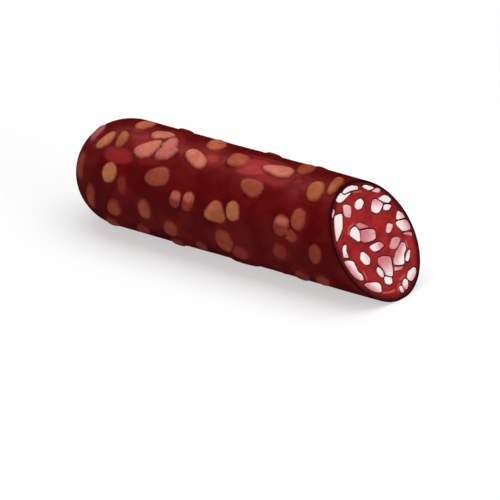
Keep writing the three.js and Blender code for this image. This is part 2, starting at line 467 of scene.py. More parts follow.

# Painted highlights: lighter pinkish upper ends of some patches, standing in for light catching them.
HIGHLIGHT_CAPS = (
    Patch(81.5, 70, 6, 4.5, 0, Tint.CAP),
    Patch(89.5, 68, 6, 5, 0, Tint.CAP),
    Patch(106.5, 70, 6, 5, 0, Tint.CAP),
    Patch(150.5, 66, 8, 4.2, 0, Tint.CAP),
)


@dataclass(frozen=True)
class PaintedHighlight(Oval):
    """A soft redder place painted on the casing: a painted highlight, standing in for the reddish band
    of light along the upper side.

    Attributes:
        strength: How strongly it shows, up to 1.
    """

    strength: float


# Painted highlights: redder places along the upper side where the reddish band of light falls, and a
# few like ones on the far side.
PAINTED_HIGHLIGHTS = (
    PaintedHighlight(57, 20, 34, 27, 60, 0.42),
    PaintedHighlight(73, 21, 12, 7, 0, 0.45),
    PaintedHighlight(93, 21, 10, 8, 0, 0.8),
    PaintedHighlight(92, 27, 17, 15, 0, 0.35),
    PaintedHighlight(119, 15, 21, 15, 20, 1.0),
    PaintedHighlight(124, 12, 44, 21, 0, 0.5),
    PaintedHighlight(133, 24, 26, 12, 0, 0.55),
    PaintedHighlight(121, 43, 25, 20, 150, 0.3),
    PaintedHighlight(38, 46, 22, 11, 0, 0.7),
    PaintedHighlight(17, 50, 26, 20, 0, 0.32),
    PaintedHighlight(151, 40, 17, 9, 100, 0.35),
    PaintedHighlight(30, -60, 30, 22, 0, 0.35),
    PaintedHighlight(80, -50, 46, 20, 20, 0.4),
    PaintedHighlight(128, -72, 36, 24, 0, 0.35),
    PaintedHighlight(55, -115, 40, 22, 0, 0.3),
    PaintedHighlight(110, -140, 50, 20, 10, 0.3),
)


@dataclass(frozen=True)
class FatMap:
    """Where fat lies close under the casing, and how it looks there.

    Distances inside fat are negative outside it, and never below far. Two patches that touch are parted
    by a seam, where the distance is lowered. The far side's patches are drawn from ranges, in an oval's
    millimetres and degrees, and the range along the sausage reaches furthest underneath, like the cut.
    """

    body: Body
    nodes: dict[str, bpy.types.Object]
    seed: int = 8
    most_on_far_side: int = 30
    most_tries: int = 4000
    spacing: float = 17 * MM
    far_side: Spread = (-192, -48)
    far_side_from: float = 8
    far_side_to: float = 176
    cut_swing: float = 30
    lengths: Spread = (9.5, 15)
    width_shares: Spread = (0.55, 0.8)
    turns: Spread = (60, 120)
    oval_power: float = 2.4
    far: float = -9 * MM
    seam_reach: float = 3 * MM
    seam_width: float = 1.8 * MM
    seam_depth: float = 1.3 * MM
    seam_fade: float = 1.5 * MM
    highlight_cap_fade: float = 0.9 * MM
    # Where a painted highlight starts to show and where it reaches full strength, from its edge.
    highlight_from: float = -1.5 * MM
    highlight_full: float = 2.5 * MM

    def patches(self) -> list[Patch]:
        """Returns the placed patches, and a like spread of them over the far side and underneath."""
        draw = random.Random(self.seed)
        found = [*DEEP_PATCHES, *LOW_PATCHES, *LOBES, *OUTLINE_BUMPS]
        centres = [self.frame_of(patch).translation for patch in OUTLINE_BUMPS]
        tints = (Tint.TAN, Tint.EMBER, Tint.EMBER, Tint.RUST, Tint.RED)
        for _ in range(self.most_tries):
            if len(centres) == self.most_on_far_side:
                break
            around = draw.uniform(*self.far_side)
            end = self.far_side_to - self.cut_swing * math.cos(math.radians(around))
            along = draw.uniform(self.far_side_from, end)
            length = draw.uniform(*self.lengths)
            width = length * draw.uniform(*self.width_shares)
            turn = draw.uniform(*self.turns)
            patch = Patch(along, around, length, width, turn, draw.choice(tints))
            centre = self.frame_of(patch).translation
            if all((centre - other).length > self.spacing for other in centres):
                centres.append(centre)
                found.append(patch)
        return found

    def frame_of(self, oval: Oval) -> Matrix:
        """Places an oval on the skin.

        Args:
            oval: The oval.

        Returns:
            A matrix with the oval's length, width and outward directions, and its middle.
        """
        along = oval.along * MM
        angle = math.radians(oval.around)
        side = Vector((0, -math.sin(angle), math.cos(angle)))
        step = 0.01 * MM
        radius = self.body.radius_at(along)
        slope = (self.body.radius_at(along + step) - radius) / step
        right = (Vector((1, 0, 0)) + side * slope).normalized()
        out = (side - Vector((slope, 0, 0))).normalized()
        up = out.cross(right)
        turn = math.radians(oval.turn)
        lengthways = right * math.cos(turn) + up * math.sin(turn)
        middle = Vector((self.body.tip + along, 0, self.body.axis_height)) + side * radius
        directions = Matrix((lengthways, out.cross(lengthways), out)).transposed()
        return Matrix.Translation(middle) @ directions.to_4x4()

    def depth_in_oval(self, oval: Oval, points: np.ndarray) -> np.ndarray:
        """Measures how far inside an oval places on the skin are.

        Args:
            oval: The oval.
            points: The places, one row each.

        Returns:
            A distance for each place, negative outside the oval.
        """
        to_oval = np.array(self.frame_of(oval).inverted())
        local = points @ to_oval[:3, :3].T + to_oval[:3, 3]
        half = np.array((oval.length, oval.width)) * MM / 2
        ring = (np.abs(local[:, :2] / half) ** self.oval_power).sum(1) ** (1 / self.oval_power)
        depth = np.maximum((1 - ring) * half.min(), self.far)
        return np.where(local[:, 2] < -half.max(), self.far, depth)

    def depth_in_dice(self, points: np.ndarray) -> tuple[np.ndarray, np.ndarray, np.ndarray]:
        """Measures how far inside the outlines of the dice places on the skin are.

        Args:
            points: The places, one row each.

        Returns:
            For each place, the distance inside the nearest die, negative outside it, the distance
            inside the next die, and the nearest die's tint.
        """
        tint_of = {
            f"fat_under_casing_{i:02d}": tint for tint, dice in DICE_BY_TINT.items() for i in dice
        }
        lean = Surfaces([self.nodes["lean_meat"]], -self.far)
        fat = Surfaces((self.nodes[name] for name in tint_of), -self.far)
        filling = points - self.body.outward(points) * self.body.filling_inset
        depth = np.full(len(points), self.far)
        next_depth = np.full(len(points), self.far)
        tints = np.full(len(points), Tint.RED, object)
        for i, row in enumerate(filling):
            place = Vector(row)
            to_fat, name = fat.nearest(place)
            if name:
                to_lean = lean.nearest(place)[0]
                depth[i] = to_lean - to_fat
                tints[i] = tint_of[name]
                if to_fat < self.seam_reach:
                    next_depth[i] = to_lean - fat.next_nearest(place, name, self.seam_reach)
        return depth, next_depth, tints

    def painted_highlight_at(self, points: np.ndarray) -> np.ndarray:
        """Finds how strongly the painted highlight shows on the casing.

        Args:
            points: Places on the skin, one row each.

        Returns:
            A strength for each place, from 0 to 1.
        """
        strength = np.zeros(len(points))
        for painted_highlight in PAINTED_HIGHLIGHTS:
            depth = self.depth_in_oval(painted_highlight, points)
            share = smooth_step(depth, self.highlight_from, self.highlight_full)
            strength = np.maximum(strength, painted_highlight.strength * share)
        return strength

    def over(self, points: np.ndarray) -> tuple[np.ndarray, np.ndarray]:
        """Maps the fat under places on the skin.

        Args:
            points: The places, one row each.

        Returns:
            How far inside the nearest fat each place is, and a colour for each place.
        """
        depth, next_depth, tints = self.depth_in_dice(points)
        for patch in self.patches():
            inside = self.depth_in_oval(patch, points)
            nearer = inside > depth
            unlike = tints != patch.tint
            lesser = np.maximum(next_depth, np.minimum(inside, depth))
            next_depth = np.where(unlike, lesser, next_depth)
            depth = np.where(nearer, inside, depth)
            tints[nearer] = patch.tint
        seam = 1 - smooth_step(depth - next_depth, 0, self.seam_width)
        depth -= self.seam_depth * seam * smooth_step(next_depth, -self.seam_fade, 0)
        colours = np.array([colour(tint.value) for tint in tints])
        # Painted highlights on the upper ends of some patches.
        for highlight_cap in HIGHLIGHT_CAPS:
            inside = self.depth_in_oval(highlight_cap, points)
            share = smooth_step(inside, -self.highlight_cap_fade, self.highlight_cap_fade)[:, None]
            colours = colours * (1 - share) + np.array(colour(highlight_cap.tint.value)) * share
        return depth, colours


# ---------------------------------------------------------------------------------------------------
# Finishes
# ---------------------------------------------------------------------------------------------------


class Finish:
    """A material in the making: one shader, and short names for the nodes that feed it."""

    def __init__(self, name: str) -> None:
        """Starts a material with a plain shader.

        Args:
            name: The material's name.
        """
        self.material = bpy.data.materials.new(name)
        self.material.use_nodes = True
        self.nodes = self.material.node_tree.nodes
        self.links = self.material.node_tree.links
        self.shader = self.nodes["Principled BSDF"]

    def feed(self, socket: Socket, value: Input) -> None:
        """Sets a socket to a number or colour, or links it to another socket."""
        if isinstance(value, Socket):
            self.links.new(value, socket)
        else:
            socket.default_value = value

    def add(self, kind: str, feeds: dict[str | int, Input], **choices: Any) -> bpy.types.Node:
        """Adds a node.

        Args:
            kind: The node's type, without its "ShaderNode".
            feeds: What goes into its sockets, by name or place.
            **choices: Its own settings.

        Returns:
            The node.
        """
        node = self.nodes.new("ShaderNode" + kind)
        for name, choice in choices.items():
            setattr(node, name, choice)
        for key, value in feeds.items():
            self.feed(node.inputs[key], value)
        return node

    def place(self, stretch: Sequence[float] = (1, 1, 1)) -> Socket:
        """Returns object coordinates, with each direction's pattern packed closer by stretch."""
        coordinates = self.nodes.new("ShaderNodeTexCoord").outputs["Object"]
        return self.add("Mapping", {"Vector": coordinates, "Scale": stretch}).outputs[0]

    def grain(self, size: float, stretch: Sequence[float] = (1, 1, 1), detail: float = 3.0) -> Socket:
        """Returns cloudy noise about 0.5, with features about that size."""
        feeds = {"Vector": self.place(stretch), "Scale": 1 / size, "Detail": detail}
        return self.add("TexNoise", feeds).outputs["Fac"]

    def waver(self, size: float, stretch: Sequence[float] = (1, 1, 1), detail: float = 3.0) -> Socket:
        """Returns cloudy noise about zero, with features about that size."""
        return self.sum(-0.5, self.grain(size, stretch, detail))

    def painted(self, name: str) -> Socket:
        """Returns a number that is stored on the vertices."""
        return self.add("Attribute", {}, attribute_name=name).outputs["Fac"]

    def painted_colour(self, name: str) -> Socket:
        """Returns a colour that is stored on the vertices."""
        return self.add("Attribute", {}, attribute_name=name).outputs["Color"]

    def sum(self, first: Input, second: Input, weight: Input = 1.0) -> Socket:
        """Returns first plus weight times second."""
        node = self.add("Math", {0: second, 1: weight, 2: first}, operation="MULTIPLY_ADD")
        return node.outputs[0]

    def ease(
        self, value: Input, low: float, high: float, start: float = 0.0, end: float = 1.0
    ) -> Socket:
        """Returns a smooth change from start, where value is low, to end, where it is high."""
        feeds = {"Value": value, "From Min": low, "From Max": high, "To Min": start, "To Max": end}
        return self.add("MapRange", feeds, interpolation_type="SMOOTHSTEP").outputs[0]

    def mix(self, share: Input, first: Input, second: Input, blend: str = "MIX") -> Socket:
        """Returns a colour between first and second."""
        feeds = {0: share, 6: first, 7: second}
        return self.add("Mix", feeds, data_type="RGBA", blend_type=blend).outputs[2]

    def bump(self, height: Input, depth: float, below: Socket | None = None) -> Socket:
        """Adds relief.

        Args:
            height: The pattern, higher where it is larger.
            depth: How deep the relief is.
            below: Another relief that this one lies on.

        Returns:
            The normal, for the shader or for the next relief.
        """
        feeds: dict[str | int, Input] = {"Height": height, "Strength": 1.0, "Distance": depth}
        if below is not None:
            feeds["Normal"] = below
        return self.add("Bump", feeds).outputs[0]

    def set(self, **values: Input) -> None:
        """Feeds the shader's own sockets, each by its name with spaces as underscores."""
        for name, value in values.items():
            self.feed(self.shader.inputs[name.replace("_", " ")], value)


@dataclass(frozen=True)
class CasingFinish:
    """Dark, slightly wrinkled casing, with the fat beneath showing through as soft patches.

    Sizes say how large a pattern's features are. Distances are from a patch's edge, positive inside.
    A spread is the part of a pattern's values that the change happens over, and tones are what a
    pattern multiplies a colour by.
    """

    dark: Colour = colour("570708")
    middle: Colour = colour("640e0f")
    cloud_size: float = 14 * MM
    cloud_spread: Spread = (0.38, 0.62)
    halo: Colour = colour("6e1213")
    halo_strength: float = 0.55
    halo_from: float = -4.2 * MM
    halo_full: float = -1.2 * MM
    halo_waver: float = 5 * MM
    halo_waver_size: float = 9 * MM
    halo_area_size: float = 30 * MM
    halo_area_spread: Spread = (0.46, 0.58)
    no_halo: float = -9 * MM
    # Painted highlight: a redder colour where the band of light falls.
    painted_highlight: Colour = colour("902628")
    highlight_spread: Spread = (0.12, 0.95)
    streak_strength: float = 0.55
    streak_size: float = 8 * MM
    streak_stretch: tuple[float, float, float] = (0.5, 1, 1)
    edge_softness: float = 0.8 * MM
    edge_waver: float = 1.6 * MM
    edge_waver_size: float = 3.2 * MM
    core_from: float = 0.3 * MM
    core_full: float = 2.0 * MM
    core_pattern_size: float = 5 * MM
    core_spread: Spread = (0.35, 0.65)
    core_tones: Spread = (0.86, 1.12)
    rim_saturation: float = 0.96
    rim_value: float = 0.76
    lip: Colour = colour("2a0508")
    speckle_size: float = 1.1 * MM
    speckle_tones: Spread = (0.9, 1.08)
    crease_size: float = 2.4 * MM
    crease_stretch: tuple[float, float, float] = (0.35, 1, 1)
    crease_depth: float = 0.12 * MM
    pore_size: float = 0.5 * MM
    pore_depth: float = 0.025 * MM
    roughness: Spread = (0.36, 0.5)
    roughness_size: float = 4 * MM
    gloss: float = 0.25
    gloss_tint: Colour = colour("ff6a6c")

    def skin(self, made: Finish) -> Socket:
        """Colours the casing where no fat shows through it, with its painted highlight.

        Args:
            made: The material in the making.

        Returns:
            The colour.
        """
        cloud = made.grain(self.cloud_size, detail=2.0)
        skin = made.mix(made.ease(cloud, *self.cloud_spread), self.dark, self.middle)
        waver = made.waver(self.halo_waver_size)
        wide = made.sum(made.painted("fat_depth"), waver, self.halo_waver)
        area = made.grain(self.halo_area_size, detail=1.0)
        some = made.ease(area, *self.halo_area_spread, self.no_halo, 0.0)
        near = made.sum(wide, some)
        haloed = made.ease(near, self.halo_from, self.halo_full, 0.0, self.halo_strength)
        skin = made.mix(haloed, skin, self.halo)
        # Painted highlight: redder streaky places standing in for the band of light on the upper side.
        streaks = made.waver(self.streak_size, self.streak_stretch, detail=2.0)
        painted_highlight = made.sum(made.painted("painted_highlight"), streaks, self.streak_strength)
        return made.mix(made.ease(painted_highlight, *self.highlight_spread), skin, self.painted_highlight)

    def fat(self, made: Finish, depth: Socket) -> Socket:
        """Colours the fat under the casing, duller along its edge.

        Args:
            made: The material in the making.
            depth: How far inside the fat a place is.

        Returns:
            The colour.
        """
        tint = made.painted_colour("fat_tint")
        dulling = {"Color": tint, "Saturation": self.rim_saturation, "Value": self.rim_value}
        rim_tint = made.add("HueSaturation", dulling).outputs[0]
        pattern = made.grain(self.core_pattern_size, detail=2.0)
        tone = made.ease(pattern, *self.core_spread, *self.core_tones)
        core = made.mix(1.0, tint, tone, blend="MULTIPLY")
        return made.mix(made.ease(depth, self.core_from, self.core_full), rim_tint, core)

    def made(self) -> bpy.types.Material:
        """Builds the material.

        Returns:
            The finished material.
        """
        made = Finish("casing_finish")
        waver = made.waver(self.edge_waver_size, detail=2.0)
        depth = made.sum(made.painted("fat_depth"), waver, self.edge_waver)
        cover = made.ease(depth, -self.edge_softness, self.edge_softness)
        base = made.mix(cover, self.skin(made), self.fat(made, depth))
        base = made.mix(made.painted("lip"), base, self.lip)
        speckle = made.ease(made.grain(self.speckle_size), *GRAIN_SPREAD, *self.speckle_tones)
        base = made.mix(1.0, base, speckle, blend="MULTIPLY")
        creases = made.bump(made.grain(self.crease_size, self.crease_stretch), self.crease_depth)
        relief = made.bump(made.grain(self.pore_size), self.pore_depth, creases)
        made.set(
            Base_Color=base,
            Roughness=made.ease(made.grain(self.roughness_size), *GRAIN_SPREAD, *self.roughness),
            Specular_IOR_Level=self.gloss,
            Specular_Tint=self.gloss_tint,
            Normal=relief,
        )
        return made.material


@dataclass(frozen=True)
class LeanFinish:
    """Cured lean meat: deep red, mottled, darker towards the rim, with painted shade around each die.
    """

    dark: Colour = colour("7e1617")
    bright: Colour = colour("9e1e20")
    cloud_size: float = 9 * MM
    cloud_spread: Spread = (0.35, 0.65)
    fibre_size: float = 1.3 * MM
    fibre_tones: Spread = (0.88, 1.1)
    fibre_stretch: tuple[float, float, float] = (1, 0.4, 1)
    relief_stretch: tuple[float, float, float] = (1, 0.5, 1)
    relief_depth: float = 0.08 * MM
    smear: Colour = colour("c4686a")
    smear_strength: float = 0.75
    smear_edge: float = 0.7 * MM
    rim: Colour = colour("3d070b")
    rim_strength: float = 0.9
    rim_full: float = 1.4 * MM
    rim_ends: float = 5.2 * MM
    rim_waver: float = 1.6 * MM
    rim_waver_size: float = 5 * MM
    # Painted shade: a dark line on the lean around each die, where the gap beside the fat lies in
    # shade.
    outline: Colour = colour("3a060b")
    painted_shade_strength: float = 0.95
    painted_shade_full: float = 0.3 * MM
    painted_shade_ends: float = 0.95 * MM
    roughness: Spread = (0.4, 0.6)
    roughness_size: float = 2 * MM
    gloss: float = 0.25

    def made(self) -> bpy.types.Material:
        """Builds the material.

        Returns:
            The finished material.
        """
        made = Finish("lean_finish")
        cloud = made.grain(self.cloud_size, detail=3.0)
        base = made.mix(made.ease(cloud, *self.cloud_spread), self.dark, self.bright)
        fibres = made.grain(self.fibre_size, self.fibre_stretch)
        tone = made.ease(fibres, *GRAIN_SPREAD, *self.fibre_tones)
        base = made.mix(1.0, base, tone, blend="MULTIPLY")
        smear = made.ease(made.painted("smear"), 0.0, self.smear_edge, 0.0, self.smear_strength)
        base = made.mix(smear, base, self.smear)
        waver = made.waver(self.rim_waver_size)
        edge = made.sum(made.painted("rim_distance"), waver, self.rim_waver)
        rim = made.ease(edge, self.rim_full, self.rim_ends, self.rim_strength, 0.0)
        base = made.mix(rim, base, self.rim)
        # Painted shade around each die, from how near the fat is.
        near = made.painted("near_fat")
        outline = made.ease(near, self.painted_shade_full, self.painted_shade_ends, self.painted_shade_strength, 0.0)
        base = made.mix(outline, base, self.outline)
        relief = made.bump(made.grain(self.fibre_size, self.relief_stretch), self.relief_depth)
        made.set(
            Base_Color=base,
            Roughness=made.ease(made.grain(self.roughness_size), *GRAIN_SPREAD, *self.roughness),
            Specular_IOR_Level=self.gloss,
            Normal=relief,
        )
        return made.material


@dataclass(frozen=True)
class FatFinish:
    """Firm back fat: white to pink, a little translucent."""

    white: Colour = colour("efdddc")
    pink: Colour = colour("c57176")
    marbling: float = 0.5
    marbling_size: float = 2.6 * MM
    grain_size: float = 0.7 * MM
    grain_depth: float = 0.03 * MM
    roughness: float = 0.42
    gloss: float = 0.35
    glow: float = 0.12
    glow_reach: tuple[float, float, float] = (1.0, 0.45, 0.4)
    glow_depth: float = 1.2 * MM

    def made(self) -> bpy.types.Material:
        """Builds the material.

        Returns:
            The finished material.
        """
        made = Finish("fat_finish")
        waver = made.waver(self.marbling_size, detail=4.0)
        share = made.sum(made.painted("pink"), waver, self.marbling)
        base = made.mix(made.ease(share, 0.0, 1.0), self.white, self.pink)
        relief = made.bump(made.grain(self.grain_size), self.grain_depth)
        made.set(
            Base_Color=base,
            Roughness=self.roughness,
            Specular_IOR_Level=self.gloss,
            Subsurface_Weight=self.glow,
            Subsurface_Radius=self.glow_reach,
            Subsurface_Scale=self.glow_depth,
            Normal=relief,
        )
        return made.material


# ---------------------------------------------------------------------------------------------------
# The casing
# ---------------------------------------------------------------------------------------------------


@dataclass
class Casing:
    """The casing: a thin round sleeve with a blind end, drawn tight over the filling."""

    body: Body
    fat: FatMap
    sectors: int = 10
    steps_in_sector: int = 25
    rings_in_blind_end: int = 62
    rings_along_side: int = 190
    inner_rings_in_blind_end: int = 14
    inner_rings_along_side: int = 24
    inner_inset: float = 1.0 * MM
    sink_between_fat: float = 0.25 * MM
    rise_over_fat: float = 0.9 * MM
    slope_half_width: float = 1.2 * MM
    swell: float = 0.2 * MM
    swell_size: float = 22 * MM
    crease: float = 0.05 * MM
    crease_width: float = 2.5 * MM
    crease_elongation: float = 3
    lip_width: float = 1.1 * MM

    def profile(
        self, shape: bmesh.types.BMesh, inset: float, end_rings: int, side_rings: int
    ) -> list[bmesh.types.BMEdge]:
        """Draws half of one skin's outline: a quarter of an ellipse, then a line one metre long.

        Args:
            shape: What it is drawn in.
            inset: How far inside the casing's outside it lies.
            end_rings: Steps in the blind end.
            side_rings: Steps along the line.

        Returns:
            The outline's edges.
        """
        body = self.body
        middle = (body.shoulder, 0, body.axis_height)
        pole = shape.verts.new((body.tip + inset, 0, body.axis_height))
        made = bmesh.ops.spin(
            shape, geom=[pole], cent=middle, axis=(0, 1, 0), angle=math.pi / 2, steps=end_rings
        )
        last = next(item for item in made["geom_last"] if isinstance(item, bmesh.types.BMVert))
        line = {pole, *(vertex for edge in shape.edges if edge.is_wire for vertex in edge.verts)}
        squash = Matrix.Diagonal((1, 1, (body.radius - inset) / (body.blind_depth - inset)))
        around_middle = Matrix.Translation([-value for value in middle])
        bmesh.ops.transform(shape, matrix=squash.to_4x4(), space=around_middle, verts=list(line))
        side = bmesh.ops.extrude_vert_indiv(shape, verts=[last])
        bmesh.ops.translate(shape, vec=(1, 0, 0), verts=side["verts"])
        bmesh.ops.subdivide_edges(shape, edges=side["edges"], cuts=side_rings - 1)
        return [edge for edge in shape.edges if edge.is_wire]

    def surface(
        self, shape: bmesh.types.BMesh, inset: float, end_rings: int, side_rings: int
    ) -> None:
        """Adds one skin of the sleeve, open at the cut, with a straight side one metre long.

        A spin of the outline makes one sector, and turned copies of the sector make the rest.

        Args:
            shape: What it is added to.
            inset: How far inside the casing's outside it lies.
            end_rings: Rings in the blind end.
            side_rings: Rings along the straight side.
        """
        before = set(shape.faces)
        outline = self.profile(shape, inset, end_rings, side_rings)
        corners = list({vertex for edge in outline for vertex in edge.verts})
        middle = (self.body.shoulder, 0, self.body.axis_height)
        sector = 2 * math.pi / self.sectors
        bmesh.ops.spin(
            shape,
            geom=corners + outline,
            cent=middle,
            axis=(1, 0, 0),
            angle=sector,
            steps=self.steps_in_sector,
        )
        faces = [face for face in shape.faces if face not in before]
        edges = {edge for face in faces for edge in face.edges}
        wedge = [*faces, *edges, *{vertex for face in faces for vertex in face.verts}]
        for i in range(1, self.sectors):
            copy = bmesh.ops.duplicate(shape, geom=wedge)["geom"]
            moved = [item for item in copy if isinstance(item, bmesh.types.BMVert)]
            turn = Matrix.Rotation(sector * i, 3, "X")
            bmesh.ops.rotate(shape, cent=middle, matrix=turn, verts=moved)

    def both_skins(self) -> tuple[bmesh.types.BMesh, np.ndarray]:
        """Makes the outer skin and the inner one.

        Returns:
            Both as one shape, and for each of its vertices whether it is the outer skin's.
        """
        shape = bmesh.new()
        self.surface(shape, 0.0, self.rings_in_blind_end, self.rings_along_side)
        outer_count = len(shape.verts)
        self.surface(
            shape, self.inner_inset, self.inner_rings_in_blind_end, self.inner_rings_along_side
        )
        return shape, np.arange(len(shape.verts)) < outer_count

    def laid_to_cut(self, points: np.ndarray, share: np.ndarray) -> np.ndarray:
        """Spreads the straight side's rings between the shoulder and the cut.

        Args:
            points: The vertices' places.
            share: How far each vertex is along the straight side, from 0 to 1.

        Returns:
            The new places.
        """
        laid = points.copy()
        length = self.body.cut_at(points[:, 1], points[:, 2]) - self.body.shoulder
        laid[:, 0] = np.where(share > 0, self.body.shoulder + share * length, points[:, 0])
        return laid

    def drawn_tight(self, points: np.ndarray, depth: np.ndarray) -> np.ndarray:
        """Sinks the skin between the dice of fat and lifts it over them.

        Args:
            points: The outer vertices' places.
            depth: How far inside the fat each one is.

        Returns:
            The new places.
        """
        lift = self.sink_between_fat + self.rise_over_fat
        over_fat = smooth_step(depth, -self.slope_half_width, self.slope_half_width)
        height = lift * over_fat - self.sink_between_fat
        for i, row in enumerate(points):
            place = Vector(row)
            height[i] += self.swell * noise.noise(place / self.swell_size)
            wrinkle = Vector((place.x / self.crease_elongation, place.y, place.z))
            height[i] += self.crease * noise.noise(wrinkle / self.crease_width)
        return points + self.body.outward(points) * height[:, None]

    def close_rim(self, shape: bmesh.types.BMesh) -> None:
        """Joins the two skins at the cut: draws the outer mouth in until it meets the inner one.

        Args:
            shape: Both skins, each open at the cut.
        """
        half_way = self.body.radius - self.inner_inset / 2
        centre = self.body.axis_height
        inner: dict[int, Vector] = {}
        outer: list[bmesh.types.BMEdge] = []
        for edge in [edge for edge in shape.edges if edge.is_boundary]:
            if all(math.hypot(end.co.y, end.co.z - centre) < half_way for end in edge.verts):
                inner.update((vertex.index, vertex.co.copy()) for vertex in edge.verts)
            else:
                outer.append(edge)
        finder = KDTree(len(inner))
        for index, place in inner.items():
            finder.insert(place, index)
        finder.balance()
        rim = bmesh.ops.extrude_edge_only(shape, edges=outer)["geom"]
        for vertex in [item for item in rim if isinstance(item, bmesh.types.BMVert)]:
            vertex.co = finder.find(vertex.co)[0]
        bmesh.ops.remove_doubles(shape, verts=shape.verts, dist=WELD_WITHIN)

    def shaped(self, shape: bmesh.types.BMesh, outer: np.ndarray) -> dict[str, np.ndarray]:
        """Moves the vertices of both skins to their places on the sausage.

        Args:
            shape: Both skins.
            outer: Whether each vertex is the outer skin's.

        Returns:
            What the finish reads, by name, one row for each vertex.
        """
        body = self.body
        least_share = 1e-6
        points = np.array([vertex.co for vertex in shape.verts])
        # The straight side is one metre long here, so a length along it is also a share of it.
        share = np.clip(points[:, 0] - body.shoulder, 0, 1)
        share[share < least_share] = 0
        points = self.laid_to_cut(points, share)
        skin = points[outer]
        depth = np.full(len(points), self.fat.far)
        tint = np.tile(colour(Tint.RED.value), (len(points), 1))
        # How strongly the painted highlight shows at each vertex.
        painted_highlight = np.zeros(len(points))
        depth[outer], tint[outer] = self.fat.over(skin)
        painted_highlight[outer] = self.fat.painted_highlight_at(skin)
        points[outer] = self.drawn_tight(skin, depth[outer])
        points[:, 2] = np.maximum(points[:, 2], np.where(outer, 0.0, self.inner_inset))
        points = self.laid_to_cut(points, share)
        to_cut = (body.cut_at(points[:, 1], points[:, 2]) - points[:, 0]) * body.cut_normal.x
        lip = 1 - smooth_step(to_cut, 0, self.lip_width)
        for vertex, place in zip(shape.verts, points):
            vertex.co = place
        return {"fat_depth": depth, "painted_highlight": painted_highlight, "lip": lip, "fat_tint": tint}

    def build(self) -> bpy.types.Object:
        """Builds the casing.

        Returns:
            The finished piece.
        """
        shape, outer = self.both_skins()
        for name, values in self.shaped(shape, outer).items():
            layers = shape.verts.layers
            layer = (layers.float if values.ndim == 1 else layers.float_color).new(name)
            for vertex, value in zip(shape.verts, values):
                vertex[layer] = value
        bmesh.ops.remove_doubles(shape, verts=shape.verts, dist=WELD_WITHIN)
        self.close_rim(shape)
        bmesh.ops.recalc_face_normals(shape, faces=shape.faces)
        piece = piece_from(shape, "casing_skin")
        piece.data.materials.append(CasingFinish().made())
        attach(piece, ROOT_BODY)
        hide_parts("casing")
        return piece


# ---------------------------------------------------------------------------------------------------
# The lean meat
# ---------------------------------------------------------------------------------------------------


# Faint streaks of fat in the lean, each a line of points. A point is in millimetres, right of and above
# the cut's middle.
SMEARS = (
    ((-17.3, 10), (-14.6, 13.4), (-10, 14)),
    ((-17.2, -11.5), (-16.5, -16.5)),
    ((21.8, -7.5), (21.3, -11)),
    ((-9.5, -27.3), (-5, -28.7), (-0.5, -29)),
    ((2, -30), (3.6, -27.8), (5.5, -27.2)),
    ((-1.5, 29.5), (4.5, 28)),
    ((6, -25.2), (11.5, -24.2)),
)

# Dice in the cut whose painted shade around them is faint, by number.
FAINTLY_SHADED = (4, 5, 7, 13, 16, 19, 26, 29)


